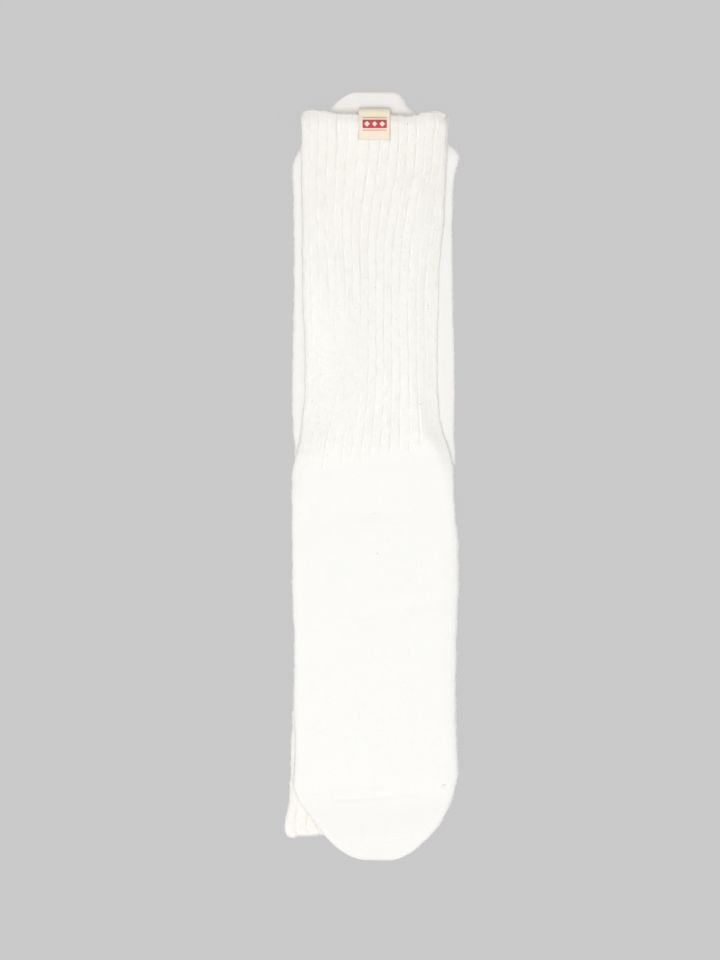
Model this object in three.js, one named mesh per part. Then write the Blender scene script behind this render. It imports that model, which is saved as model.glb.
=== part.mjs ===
// A pair of ribbed crew socks, laid flat head to toe. The lower sock rests on the surface with its
// toe at +Y. The upper sock lies on it with its cuff at +Y, and hangs down to the surface where it
// reaches past the lower one. Each sock is one knitted wall, open at the cuff and closed at the toe.
// The upper sock carries a woven label, folded over the edge of its cuff.
//
// Millimetres, +Z up. X runs across the socks and Y along them; the origin is on the surface, under
// the middle of the pair.

import * as THREE from 'three';

const { clamp, lerp, smoothstep } = THREE.MathUtils;

// ---- Cloth ----
const WALL = 2.2; // knitted cloth, with its loops inside
const PANEL_SPACE = 0.5; // between the front and back panels of a sock that lies flat
const CLEARANCE = 0.3; // between pieces that touch
const SPACE_POWER = 6; // how late the panels close towards the sock's sides

// ---- Ribs of the leg ----
const RIBS = 16; // grooves across one panel
const RIBS_PER_GUIDE = 4; // the section tables place every fourth groove
const GROOVE_DEPTH = 0.8;
const GROOVE_HALF_WIDTH = 1.0;
const SHOULDER_DROP = 0.2; // a rib's shoulders lie below its crest
const MIN_PITCH = 1.2; // between grooves that crowd together at the sock's side
const GROOVE_SHARE = 0.35; // of the pitch, the most that half a groove takes

// ---- How a sock lies ----
const DROOP_START = 2.5; // past the lower sock's outline, where the upper one starts to hang
const DROOP_REACH = 16; // past that outline, where it meets the surface
const MOUTH_GAPE = 1.6; // extra space between the panels at the upper cuff
const MOUTH_REACH = 30;
const HEEL_RISE = 1.2; // the heel's pocket, folded under, holds the upper sock's panels apart
const HEEL_REACH = 32;
const RIM_ROUND = 1.2; // length over which the cuff's edge is rounded
const RIM_THICKNESS = 0.8; // of the full thickness, at the very edge
const RIM_FLARE = 0.3; // the inside opens by this much at the edge
const SEAM_DEPTH = 0.4; // the toe's linking seam, a shallow groove
const SEAM_HALF_WIDTH = 1.6;
const TOE_ROUND = 2.4; // length over which the toe's end is rounded
const TIP_BEYOND = 0.1; // from the last section to the toe's very tip

// ---- Mesh ----
const EDGE_STEPS = [0, 0.13, 0.5, 1]; // points round a side, in wall thicknesses from the edge
const PLAIN_SPANS = 14; // across a plain panel
const FLAT_SPANS = 5; // across an underside that rests flat
const INNER_SPANS = 10; // across the inside
const MOUTH_ROWS = 3; // sections near the mouth that the inside follows; below, every second one
const INNER_MARGIN = 2.5; // of cloth at the sock's sides
const TOE_MARGIN = 5; // the same in the toe, whose outline runs slantwise
const TOE_CLOTH = 6; // from the inside's end to the toe's tip

// A section is a line across the sock, from its left edge to its right one, with its middle moved
// along Y by the bow. The rib columns give the X at which the 4th to the 16th groove cross it.
const LEG_COLUMNS = ['leftX', 'leftY', 'rightX', 'rightY', 'bow', 'rib4', 'rib8', 'rib12', 'rib16'];
const FOOT_COLUMNS = ['leftX', 'leftY', 'rightX', 'rightY', 'bow'];

// Sections are listed from the cuff to the toe.
const UPPER_LEG = [
  [-41.7, 217.5, 45.6, 218.0, -0.8, -20.5, 5.2, 27.0, 46.0],
  [-41.3, 210.5, 45.5, 210.5, 0, -20.5, 5.2, 27.0, 46.0],
  [-41.3, 201.5, 45.4, 201.5, 0, -20.5, 5.0, 26.5, 45.5],
  [-41.2, 186.5, 44.4, 186.5, 0, -21.4, 3.6, 25.9, 44.5],
  [-41.0, 171.5, 43.6, 171.5, 0, -22.0, 1.5, 23.2, 42.7],
  [-40.8, 156.5, 43.0, 156.5, 0, -22.6, -0.5, 20.7, 41.4],
  [-40.6, 138.5, 41.4, 138.5, 0, -21.8, -2.0, 18.0, 39.5],
  [-40.6, 120.5, 40.0, 120.5, 0, -20.8, -1.7, 17.1, 37.7],
  [-40.3, 99.5, 39.7, 99.5, 0, -20.2, -1.7, 17.0, 36.8],
  [-38.9, 78.5, 38.9, 78.5, 0, -19.5, -1.7, 17.1, 37.0],
  [-38.3, 60.5, 39.0, 60.5, 0, -20.0, -2.0, 17.5, 37.2],
  [-38.3, 45.5, 39.8, 45.5, 0, -21.5, -2.9, 17.2, 38.0],
  [-39.8, 31.5, 40.8, 35.0, 0.5, -24.4, -4.0, 17.0, 39.0],
  [-42.5, 19.5, 42.3, 27.0, 1.5, -26.8, -5.2, 17.0, 40.0],
  [-45.2, 10.0, 44.4, 21.0, 2.5, -28.5, -5.8, 17.1, 41.4],
  [-47.0, 1.0, 46.3, 15.0, 3.3, -29.2, -5.9, 17.3, 42.3],
];
const UPPER_FOOT = [
  [-47.1, -8.5, 49.1, 2.0, 2.5],
  [-47.1, -23.5, 50.6, -17.5, 1],
  [-47.0, -41.0, 51.4, -38.5, 0],
  [-46.8, -59.5, 52.0, -58.5, 0],
  [-46.6, -74.5, 51.8, -74.5, 0],
  [-46.0, -90.0, 51.1, -90.0, 0],
  [-45.6, -107.5, 50.6, -107.5, 0],
  [-45.9, -128.5, 50.3, -128.5, 0],
  [-45.7, -146.5, 50.5, -144.5, 0],
  [-45.3, -161.5, 50.9, -159.0, 0],
  [-45.7, -175.0, 51.5, -170.0, -1.5],
  [-46.2, -184.5, 51.6, -178.0, -3],
];
const UPPER_SEAM = [-44.0, -192.5, 51.0, -185.5, -3.5];
const UPPER_TOE = [
  [-41.2, -197.0, 49.8, -192.0, -3],
  [-37.7, -202.0, 47.7, -198.0, -2],
  [-31.7, -210.5, 42.2, -208.0, -1],
  [-26.3, -217.8, 36.4, -215.2, -0.5],
  [-20.8, -222.6, 30.1, -220.4, 0],
  [-14.9, -226.6, 23.3, -225.8, 0],
  [-8.9, -229.0, 17.0, -228.9, 0],
  [-4.1, -230.3, 11.0, -230.3, 0],
];

const LOWER_LEG = [
  [-48.6, -217.0, 40.5, -202.0, -2.8, -24.5, -2.8, 18.0, 36.5],
  [-52.1, -211.0, 41.0, -197.5, -1.5, -25.0, -3.4, 18.0, 37.0],
  [-51.2, -201.5, 41.0, -189.0, 0, -25.0, -3.4, 18.0, 37.0],
  [-49.4, -188.5, 40.5, -179.0, 0, -26.5, -4.6, 17.0, 36.5],
  [-47.6, -159.5, 39.2, -155.0, 0, -27.2, -6.7, 14.5, 35.0],
  [-46.4, -134.5, 38.0, -132.5, 0, -26.5, -6.5, 13.5, 33.5],
  [-45.8, -107.5, 37.4, -107.5, 0, -26.2, -6.6, 13.0, 32.5],
  [-44.8, -86.5, 38.0, -86.5, 0, -25.3, -5.8, 13.7, 33.2],
  [-43.6, -65.5, 38.0, -65.5, 0, -24.4, -5.2, 14.0, 33.2],
  [-42.5, -46.0, 39.2, -46.0, 0, -23.3, -4.0, 15.2, 34.4],
  [-43.4, -32.5, 41.6, -35.5, 0, -23.4, -3.4, 16.6, 36.6],
  [-44.8, -23.0, 45.2, -26.5, 0, -23.6, -2.5, 18.7, 39.9],
  [-46.0, -12.5, 48.2, -16.5, 0, -23.8, -1.7, 20.5, 42.7],
];
const LOWER_FOOT = [
  [-45.8, -1.0, 50.0, -3.5, 0],
  [-45.5, 12.5, 50.5, 12.5, 0],
  [-46.5, 29.0, 50.0, 29.0, 0],
  [-47.0, 48.5, 49.7, 48.5, 0],
  [-47.0, 66.5, 49.5, 66.5, 0],
  [-46.5, 87.5, 49.1, 87.5, 0],
  [-46.0, 111.5, 48.6, 111.5, 0],
  [-46.0, 132.5, 48.3, 132.5, 0],
  [-46.4, 150.5, 48.5, 150.5, 0],
  [-46.7, 165.5, 49.1, 165.5, 0],
  [-47.5, 177.5, 50.3, 179.0, 0],
  [-47.2, 185.5, 51.9, 187.5, 0],
];
const LOWER_SEAM = [-46.0, 190.5, 52.3, 192.5, 1];
const LOWER_TOE = [
  [-42.7, 196.2, 49.7, 196.5, 1],
  [-36.5, 204.6, 41.0, 204.6, 1],
  [-30.3, 212.4, 32.9, 212.4, 0],
  [-26.0, 217.8, 27.2, 217.8, 0],
  [-22.5, 222.0, 22.1, 222.0, 0],
  [-18.2, 225.6, 19.1, 225.6, 0],
  [-13.1, 228.4, 16.8, 228.4, 0],
  [-8.9, 230.3, 14.0, 230.3, 0],
];

// Soft folds in the upper sock's front: a line from start to end, raised or sunk by the height and
// fading over the reach.
const CREASE_COLUMNS = ['startX', 'startY', 'endX', 'endY', 'height', 'reach'];
const UPPER_CREASES = [
  [-36.0, 32.0, -44.0, 10.0, 0.5, 5],
  [50.0, -72.0, -6.0, -84.0, -0.35, 8],
  [-12.0, -22.0, 20.0, -23.0, -0.3, 7],
  [38.0, -160.0, 50.0, -182.0, -0.3, 8],
];

// The woven label: a strip folded over the upper cuff's edge, its ends outside and inside the cuff.
const LABEL = { left: -7.5, right: 11.2, bottom: 201.7, top: 220.4, thickness: 0.9, tuck: 7 };
const LABEL_FRONT_SPANS = 5;
const LABEL_FOLD_SPANS = 8;
const LABEL_TUCK_SPANS = 2;

const toRow = (columns, values) => Object.fromEntries(columns.map((name, i) => [name, values[i]]));
const toRows = (columns, table) => table.map((values) => toRow(columns, values));

// ---- Sections ----

const sectionWidth = (row) => Math.hypot(row.rightX - row.leftX, row.rightY - row.leftY);

// The point of a section at a share of its width, 0 at the left edge and 1 at the right one.
function pointOn(row, across) {
  return {
    x: lerp(row.leftX, row.rightX, across),
    y: lerp(row.leftY, row.rightY, across) + row.bow * 4 * across * (1 - across),
  };
}

const movedAlong = (row, distance) => ({
  ...row,
  leftY: row.leftY + distance,
  rightY: row.rightY + distance,
});

const middleY = (row) => (row.leftY + row.rightY) / 2 + row.bow;

// A quarter circle: 0 at 0 and 1 from 1 on.
const quarterRound = (share) => Math.sqrt(1 - (1 - clamp(share, 0, 1)) ** 2);

// 0 at a panel's edges and close to 1 over most of its width.
const fullness = (across) => 1 - Math.abs(2 * across - 1) ** SPACE_POWER;

// ---- The surface that the upper sock lies on ----

// A sock's outline seen from above, as a loop of points.
function outline(rows) {
  const ends = [0.25, 0.5, 0.75];
  const rim = rows[0];
  const tip = rows[rows.length - 1];
  return [
    ...rows.map((row) => pointOn(row, 0)),
    ...ends.map((across) => pointOn(tip, across)),
    ...rows.map((row) => pointOn(row, 1)).reverse(),
    ...ends.map((across) => pointOn(rim, 1 - across)),
  ];
}

function distanceToSegment(x, y, from, to) {
  const length2 = (to.x - from.x) ** 2 + (to.y - from.y) ** 2;
  const along = ((x - from.x) * (to.x - from.x) + (y - from.y) * (to.y - from.y)) / length2;
  const part = clamp(along, 0, 1);
  return Math.hypot(x - lerp(from.x, to.x, part), y - lerp(from.y, to.y, part));
}

// How far a point lies outside a loop, and 0 inside it.
function distanceOutside(loop, x, y) {
  let inside = false;
  let nearest = Infinity;
  loop.forEach((from, i) => {
    const to = loop[(i + 1) % loop.length];
    const crosses = (from.y > y) !== (to.y > y);
    if (crosses && x < lerp(from.x, to.x, (y - from.y) / (to.y - from.y))) {
      inside = !inside;
    }
    nearest = Math.min(nearest, distanceToSegment(x, y, from, to));
  });
  return inside ? 0 : nearest;
}

// ---- The socks ----

const lower = {
  rim: toRow(LEG_COLUMNS, LOWER_LEG[0]),
  leg: toRows(LEG_COLUMNS, LOWER_LEG.slice(1)),
  foot: toRows(FOOT_COLUMNS, LOWER_FOOT),
  seam: toRow(FOOT_COLUMNS, LOWER_SEAM),
  toe: toRows(FOOT_COLUMNS, LOWER_TOE),
  toeward: 1,
  gape: 0,
  heelRise: 0,
  creases: [],
  flatBelow: true,
  restHeight: () => 0,
};

const lowerOutline = outline([lower.rim, ...lower.leg, ...lower.foot, lower.seam, ...lower.toe]);
const LOWER_TOP = 2 * WALL + PANEL_SPACE;

const upper = {
  rim: toRow(LEG_COLUMNS, UPPER_LEG[0]),
  leg: toRows(LEG_COLUMNS, UPPER_LEG.slice(1)),
  foot: toRows(FOOT_COLUMNS, UPPER_FOOT),
  seam: toRow(FOOT_COLUMNS, UPPER_SEAM),
  toe: toRows(FOOT_COLUMNS, UPPER_TOE),
  toeward: -1,
  gape: MOUTH_GAPE,
  heelRise: HEEL_RISE,
  creases: toRows(CREASE_COLUMNS, UPPER_CREASES),
  flatBelow: false,
  restHeight: (x, y) => {
    const fall = smoothstep(distanceOutside(lowerOutline, x, y), DROOP_START, DROOP_REACH);
    return CLEARANCE + LOWER_TOP * (1 - fall);
  },
};

// The space between a sock's panels at a distance along Y, away from its sides.
function panelSpace(sock, y) {
  const fromRim = Math.abs(y - middleY(sock.rim));
  const fromHeel = Math.abs(y - middleY(sock.leg.at(-1)));
  const mouth = sock.gape * (1 - smoothstep(fromRim, 0, MOUTH_REACH));
  const heel = sock.heelRise * (1 - smoothstep(fromHeel, 0, HEEL_REACH));
  return PANEL_SPACE + mouth + heel;
}

function creaseHeight(sock, x, y) {
  return sock.creases.reduce((sum, crease) => {
    const from = { x: crease.startX, y: crease.startY };
    const to = { x: crease.endX, y: crease.endY };
    const away = distanceToSegment(x, y, from, to);
    return sum + crease.height * (1 - smoothstep(away, 0, crease.reach));
  }, 0);
}

// ---- Stops: the points that a panel's wall has across a section ----
// A stop has its place, in millimetres from the left edge, and its sink, the depth of the surface
// below the rib's crest.

const edgeStops = () => EDGE_STEPS.map((step) => ({ place: step * WALL, sink: 0 }));

function withEdges(width, middle) {
  const right = edgeStops().map(({ place, sink }) => ({ place: width - place, sink }));
  return [...edgeStops(), ...middle, ...right.reverse()];
}

function plainStops(row, spans) {
  const width = sectionWidth(row);
  const middle = [];
  for (let i = 1; i < spans; i += 1) {
    middle.push({ place: lerp(WALL, width - WALL, i / spans), sink: 0 });
  }
  return withEdges(width, middle);
}

// The places of a panel's grooves: the front follows the section's rib guides, and the back, which
// nothing pulls aside, has them evenly spaced.
function groovePlaces(row, followGuides) {
  const width = sectionWidth(row);
  const guides = [row.leftX, row.rib4, row.rib8, row.rib12, row.rib16];
  const places = [];
  for (let rib = 1; rib <= RIBS; rib += 1) {
    const guide = Math.min(Math.floor(rib / RIBS_PER_GUIDE), guides.length - 2);
    const x = lerp(guides[guide], guides[guide + 1], rib / RIBS_PER_GUIDE - guide);
    const guided = (width * (x - row.leftX)) / (row.rightX - row.leftX);
    const even = (width * rib) / (RIBS + 1);
    const last = width - WALL - (RIBS - rib + 1) * MIN_PITCH;
    places.push(Math.min(followGuides ? guided : even, last));
  }
  return places;
}

function ribStops(row, followGuides) {
  const width = sectionWidth(row);
  const places = groovePlaces(row, followGuides);
  const middle = [];
  places.forEach((place, i) => {
    const before = i > 0 ? places[i - 1] : WALL;
    const after = i < RIBS - 1 ? places[i + 1] : width - WALL;
    const pitch = Math.min(place - before, after - place);
    const half = Math.min(GROOVE_HALF_WIDTH, GROOVE_SHARE * pitch);
    const depth = (GROOVE_DEPTH * half) / GROOVE_HALF_WIDTH;
    middle.push({ place: place - half, sink: SHOULDER_DROP });
    middle.push({ place, sink: SHOULDER_DROP + depth });
    middle.push({ place: place + half, sink: SHOULDER_DROP });
    if (i < RIBS - 1) {
      middle.push({ place: (place + after) / 2, sink: 0 });
    }
  });
  return withEdges(width, middle);
}

// ---- Surface: points joined by strips of triangles ----

class Surface {
  constructor() {
    this.points = [];
    this.triangles = [];
  }

  add(x, y, z) {
    this.points.push(x, y, z);
    return this.points.length / 3 - 1;
  }

  // Joins two lines of points that both run from left to right. Lines of one length are joined point
  // by point, and others by each point's share of the width.
  strip(first, second, turned) {
    const matched = first.length === second.length;
    const share = (line, i) => (matched ? i : line[i].across);
    const next = (line, i) => (i < line.length - 1 ? share(line, i + 1) : Infinity);
    let i = 0;
    let j = 0;
    while (i < first.length - 1 || j < second.length - 1) {
      const stepFirst = next(first, i) <= next(second, j);
      const ahead = stepFirst ? first[i + 1] : second[j + 1];
      this.triangle(first[i].index, ahead.index, second[j].index, turned);
      i += stepFirst ? 1 : 0;
      j += stepFirst ? 0 : 1;
    }
  }

  triangle(a, b, c, turned) {
    if (a !== b && b !== c && a !== c) {
      this.triangles.push(...(turned ? [a, c, b] : [a, b, c]));
    }
  }

  geometry() {
    const geometry = new THREE.BufferGeometry();
    geometry.setAttribute('position', new THREE.Float32BufferAttribute(this.points, 3));
    geometry.setIndex(this.triangles);
    geometry.computeVertexNormals();
    return geometry;
  }
}

// Two lines of points, the front panel's and the back panel's, that share their ends.
function addRing(surface, front, back) {
  const toLine = (points, ends) =>
    points.map(({ across, x, y, z }, i) => {
      const atEnd = i === 0 ? ends?.[0] : i === points.length - 1 ? ends?.[1] : undefined;
      return { across, index: atEnd ?? surface.add(x, y, z) };
    });
  const frontLine = toLine(front);
  const backLine = toLine(back, [frontLine[0].index, frontLine.at(-1).index]);
  return { front: frontLine, back: backLine };
}

// The outside of one panel: side is 1 for the front, which faces up, and -1 for the back.
function outerPoints(sock, row, stops, side) {
  const width = sectionWidth(row);
  return stops.map(({ place, sink }) => {
    const across = place / width;
    const { x, y } = pointOn(row, across);
    const half = WALL + (panelSpace(sock, y) * fullness(across)) / 2;
    const edge = quarterRound(Math.min(place, width - place) / WALL) * row.thickness;
    const fold = side > 0 ? creaseHeight(sock, x, y) : 0;
    const sunk = side > 0 ? sink + row.sunk : sink;
    const z = sock.restHeight(x, y) + half + fold + side * (half - sunk) * edge;
    return { across, x, y, z };
  });
}

function addOuterRing(surface, sock, row) {
  const ribbed = row.rib4 !== undefined;
  const backSpans = sock.flatBelow ? FLAT_SPANS : PLAIN_SPANS;
  const front = ribbed ? ribStops(row, true) : plainStops(row, PLAIN_SPANS);
  const back = ribbed && !sock.flatBelow ? ribStops(row, false) : plainStops(row, backSpans);
  return addRing(surface, outerPoints(sock, row, front, 1), outerPoints(sock, row, back, -1));
}

// The inside of one panel, plain and a wall's thickness in from the outside.
function innerPoints(sock, row, side) {
  const width = sectionWidth(row);
  const points = [];
  for (let i = 0; i <= INNER_SPANS; i += 1) {
    const share = i / INNER_SPANS;
    const across = lerp(row.margin, width - row.margin, share) / width;
    const { x, y } = pointOn(row, across);
    const space = side > 0 ? panelSpace(sock, y) : 0;
    const z = sock.restHeight(x, y) + WALL + (space + side * row.flare) * fullness(share);
    points.push({ across, x, y, z });
  }
  return points;
}

function addInnerRing(surface, sock, row) {
  return addRing(surface, innerPoints(sock, row, 1), innerPoints(sock, row, -1));
}

function joinRings(surface, rings, turned) {
  rings.slice(1).forEach((ring, i) => {
    surface.strip(rings[i].front, ring.front, turned);
    surface.strip(rings[i].back, ring.back, !turned);
  });
}

// The outside's sections, from the cuff's rounded edge to the toe's rounded end.
function outerRows(sock) {
  const tipY = middleY(sock.toe.at(-1)) + sock.toeward * TIP_BEYOND;
  const full = [
    movedAlong(sock.rim, sock.toeward * RIM_ROUND),
    ...sock.leg,
    ...sock.foot,
    movedAlong(sock.seam, -sock.toeward * SEAM_HALF_WIDTH),
    { ...sock.seam, sunk: SEAM_DEPTH },
    movedAlong(sock.seam, sock.toeward * SEAM_HALF_WIDTH),
    ...sock.toe,
  ].map((row) => {
    const fromTip = Math.abs(middleY(row) - tipY);
    return { sunk: 0, ...row, thickness: quarterRound(fromTip / TOE_ROUND) };
  });
  return [{ ...sock.rim, sunk: 0, thickness: RIM_THICKNESS }, ...full];
}

// The inside's sections, from the cuff's edge to a wall's thickness short of the toe's end.
function innerRows(sock) {
  const tipY = middleY(sock.toe.at(-1));
  const inToe = sock.toe.filter((row) => Math.abs(middleY(row) - tipY) > TOE_CLOTH);
  const inLeg = sock.leg.filter((row, i) => i < MOUTH_ROWS || i % 2 === 1);
  const straight = [...inLeg, ...sock.foot].map((row) => ({ ...row, margin: INNER_MARGIN, flare: 0 }));
  const closing = [sock.seam, ...inToe].map((row) => ({ ...row, margin: TOE_MARGIN, flare: 0 }));
  return [{ ...sock.rim, margin: INNER_MARGIN, flare: RIM_FLARE }, ...straight, ...closing];
}

function sockGeometry(sock) {
  const surface = new Surface();
  const turned = sock.toeward < 0;
  const outer = outerRows(sock).map((row) => addOuterRing(surface, sock, row));
  const inner = innerRows(sock).map((row) => addInnerRing(surface, sock, row));
  joinRings(surface, outer, turned);
  joinRings(surface, inner, !turned);
  surface.strip(inner[0].front, outer[0].front, turned);
  surface.strip(inner[0].back, outer[0].back, !turned);
  surface.strip(outer.at(-1).front, outer.at(-1).back, turned);
  surface.strip(inner.at(-1).front, inner.at(-1).back, !turned);
  return surface.geometry();
}

// ---- The label ----

// The label's middle line in the Y-Z plane: up the front panel, over the cuff's edge and back down
// inside the cuff, clear of the cloth on both faces.
function labelLine() {
  const { bottom, top, thickness, tuck } = LABEL;
  const middleX = (LABEL.left + LABEL.right) / 2;
  const offset = CLEARANCE + thickness / 2;
  const frontZ = (y) => upper.restHeight(middleX, y) + 2 * WALL + panelSpace(upper, y) + offset;
  const tuckZ = (y) => frontZ(y) - WALL - 2 * offset;
  const rimY = middleY(upper.rim);
  const foldRadius = (frontZ(rimY) - tuckZ(rimY)) / 2;
  const foldY = top - thickness / 2 - foldRadius;
  const line = [];
  for (let i = 0; i < LABEL_FRONT_SPANS; i += 1) {
    const y = lerp(bottom, foldY, i / LABEL_FRONT_SPANS);
    line.push(new THREE.Vector2(y, frontZ(Math.min(y, rimY))));
  }
  for (let i = 0; i <= LABEL_FOLD_SPANS; i += 1) {
    const angle = Math.PI * (0.5 - i / LABEL_FOLD_SPANS);
    const middleZ = (frontZ(rimY) + tuckZ(rimY)) / 2;
    line.push(
      new THREE.Vector2(foldY + foldRadius * Math.cos(angle), middleZ + foldRadius * Math.sin(angle)),
    );
  }
  for (let i = 1; i <= LABEL_TUCK_SPANS; i += 1) {
    const y = lerp(foldY, rimY - tuck, i / LABEL_TUCK_SPANS);
    line.push(new THREE.Vector2(y, tuckZ(Math.min(y, rimY))));
  }
  return line;
}

// Moves each point of a line sideways, square to the line there.
function offsetLine(line, distance) {
  return line.map((point, i) => {
    const before = line[Math.max(i - 1, 0)];
    const after = line[Math.min(i + 1, line.length - 1)];
    const along = after.clone().sub(before).normalize();
    return new THREE.Vector2(point.x - along.y * distance, point.y + along.x * distance);
  });
}

function labelGeometry() {
  const line = labelLine();
  const outside = offsetLine(line, LABEL.thickness / 2);
  const inside = offsetLine(line, -LABEL.thickness / 2);
  const section = new THREE.Shape([...outside, ...inside.reverse()]);
  const depth = LABEL.right - LABEL.left;
  const geometry = new THREE.ExtrudeGeometry(section, { depth, bevelEnabled: false });
  const acrossX = new THREE.Matrix4().makeBasis(
    new THREE.Vector3(0, 1, 0),
    new THREE.Vector3(0, 0, 1),
    new THREE.Vector3(1, 0, 0),
  );
  return geometry.applyMatrix4(acrossX).translate(LABEL.left, 0, 0);
}

// ---- The pair ----

function piece(name, geometry, color) {
  const material = new THREE.MeshStandardMaterial({ color, roughness: 0.95, metalness: 0 });
  const mesh = new THREE.Mesh(geometry, material);
  mesh.name = name;
  return mesh;
}

const pair = new THREE.Group();
pair.name = 'crew_socks';
pair.add(
  piece('lower_sock', sockGeometry(lower), '#f3f0ea'),
  piece('upper_sock', sockGeometry(upper), '#f7f4ee'),
  piece('label', labelGeometry(), '#f3ecd6'),
);

export default pair;
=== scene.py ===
"""The looks of a pair of ribbed crew socks that lie flat, head to toe, one on the other.

Lengths are in millimetres until a mesh is made, and then in metres. X runs across the socks, Y
along them and Z up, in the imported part's own frame.
"""

import math

import bpy
import numpy as np
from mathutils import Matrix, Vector
from mathutils.bvhtree import BVHTree


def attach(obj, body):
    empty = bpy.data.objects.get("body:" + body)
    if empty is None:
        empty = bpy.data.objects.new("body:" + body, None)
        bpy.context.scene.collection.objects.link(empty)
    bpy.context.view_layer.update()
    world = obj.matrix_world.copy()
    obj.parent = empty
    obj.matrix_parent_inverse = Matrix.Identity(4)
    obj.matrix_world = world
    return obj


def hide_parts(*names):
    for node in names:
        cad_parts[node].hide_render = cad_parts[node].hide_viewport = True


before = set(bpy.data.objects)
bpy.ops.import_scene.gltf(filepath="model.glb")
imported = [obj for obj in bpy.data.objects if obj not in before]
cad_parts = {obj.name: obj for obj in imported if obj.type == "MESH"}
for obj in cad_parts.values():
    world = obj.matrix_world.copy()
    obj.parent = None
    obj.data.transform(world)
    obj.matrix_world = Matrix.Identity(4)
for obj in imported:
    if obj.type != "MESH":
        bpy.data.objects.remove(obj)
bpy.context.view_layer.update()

MM = 0.001

# ---- Cloth ----
WALL = 2.2  # knitted cloth
PANEL_SPACE = 0.5  # between the panels of a sock that lies flat
HALF = WALL + PANEL_SPACE / 2  # from a sock's middle to its outside
SINK_SHARE = 0.17  # most of a sock's thickness that a groove takes, where it is thin
WALL_SHARES = (0.28, 0.42)  # most of a sock's thickness that one panel takes, thin or thick
THIN_WALL = 0.6  # of a pressed edge
CLEARANCE = 0.07  # between the two socks, where the upper one presses down
DROOP_START = 2  # past the lower sock's outline, where the upper one starts to hang
DROOP_REACH = 28  # past that outline, where it meets the surface
MOUTH_GAPE = 1.6  # extra space between the panels at the upper cuff
MOUTH_REACH = 30
HEEL_RISE = 1.2  # the heel's pocket, folded under, lifts the upper sock's front
HEEL_REACH = 32
TOE_ROUND = 2.4  # length over which the toe's end is rounded

# ---- Knit ----
RIBS = 17  # from fold to fold across one panel
WALES_PER_RIB = 4
WALE = 1.4  # width of a stitch
COURSE = 1.15  # height of a stitch
GROOVE_DEPTH = 0.85
GROOVE_POWER = 9  # a high power makes narrow grooves between broad ribs
# A groove's share of that depth: on average, how it varies slowly and fast, and its range.
RIB_MEAN, RIB_UNEVEN, RIB_BROKEN = 0.64, 0.5, 0.55
RIB_RANGE = (0.05, 1.25)
DOME = 0.07  # how far a rib's shoulders lie below its crest
LIP_HEIGHT = 0.28  # of the raised wale beside a groove
LIP_PLACE = 0.17  # from the groove to that wale, in ribs
LIP_WIDTH = 0.075
WELT = 6  # length of the cuff's edge in which the ribs are faint
WELT_SHARE = 0.3
RIB_FADE = 9  # length over which the ribs run out into the foot
RIB_WOBBLE = 0.24  # how far the grooves wander sideways
SEAM_WIDTH = 1.1  # of each line of the toe's seam
# Lines of the toe's seam: how far towards the leg, depth, and the X of both ends.
SEAM_LINES = [(0, 0.27, -24, 18), (0, 0.1, -44, 44), (6.6, 0.12, -30, 14)]
SEAM_END = 9  # length over which a line fades out
BACK_UNEVEN = 0.3
GORE_LINES = [(2, 30), (62, 34)]  # past the ribs, at the edge and at the inner end
GORE_INWARD = 0.3  # of the width, where a gore's lines end
GORE_DEPTH = 0.3
NAP = 0.6  # the outlines stand out this far past the table's, for the yarn's soft nap
NAP_WOBBLE = 0.22
NAP_ROUGH = 0.14
CUFF_ROUGH = 0.2  # added near the cuff, and gone over this span
ROUGH_SPAN = (10, 60)
RIM_REACH = 16  # from the cuff's edge, where its uneven shape ends
UPPER_ROLL = 1.9  # how far the cuff's edge rolls down
LOWER_ROLL = 0.4
ROLL_REACH = 5.5

# ---- Mesh ----
RIB_SAMPLES = [0, 0.045, 0.1, 0.18, 0.3, 0.62, 0.8, 0.9, 0.955]  # closer together at a groove
ROW_STEP = 1.8
TIP_STEP = 0.45
TIP_LENGTH = 6
INNER_STEP = 9
INNER_END = 7  # from the inside's end to the toe's tip
LIP_ANGLES = [70, 40, 10, -20, -50]  # round the cuff's edge, in degrees

# ---- The socks' sections, from the cuff to the toe ----


def table(text):
    return [tuple(map(float, line.split())) for line in text.strip().splitlines()]


# A section runs from its left to its right edge, with its middle moved along Y by the bow. The rib
# columns, which only a leg has, give the X at which the 4th to the 16th groove cross it.
COLUMNS = ("leftX", "leftY", "rightX", "rightY", "bow", "rib4", "rib8", "rib12", "rib16")
GUIDED_RIBS = (4, 8, 12, 16)

UPPER_LEG = table("""
-41.7 217.5 45.6 218 -0.8 -20.5 5.2 27 46
-41.3 210.5 45.5 210.5 0 -20.5 5.2 27 46
-41.2 201.5 45 201.5 0 -20.5 5 26.5 45.3
-41.2 186.5 44.4 186.5 0 -21.4 3.6 25.9 44.5
-41 171.5 43.6 171.5 0 -22 1.5 23.2 42.7
-40.8 156.5 43 156.5 0 -22.6 -0.5 20.7 41.4
-40.6 138.5 41.4 138.5 0 -21.8 -2 18 39.5
-40.6 120.5 40 120.5 0 -20.8 -1.7 17.1 37.7
-40.3 99.5 39.7 99.5 0 -20.2 -1.7 17 36.8
-39.2 78.5 38.9 78.5 0 -19.5 -1.7 17.1 37
-38.9 60.5 39 60.5 0 -20 -2 17.5 37.2
-39.4 45.5 39.8 45.5 0 -21.5 -2.9 17.2 38
-41 31.5 40.8 35 0.5 -24.4 -4 17 39
-43.2 19.5 42.3 27 1.5 -26.8 -5.2 17 40
-45.2 10 44.4 21 2.5 -28.5 -5.8 17.1 41.4
-47 1 46.3 15 3.3 -29.2 -5.9 17.3 42.3
""")
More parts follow.
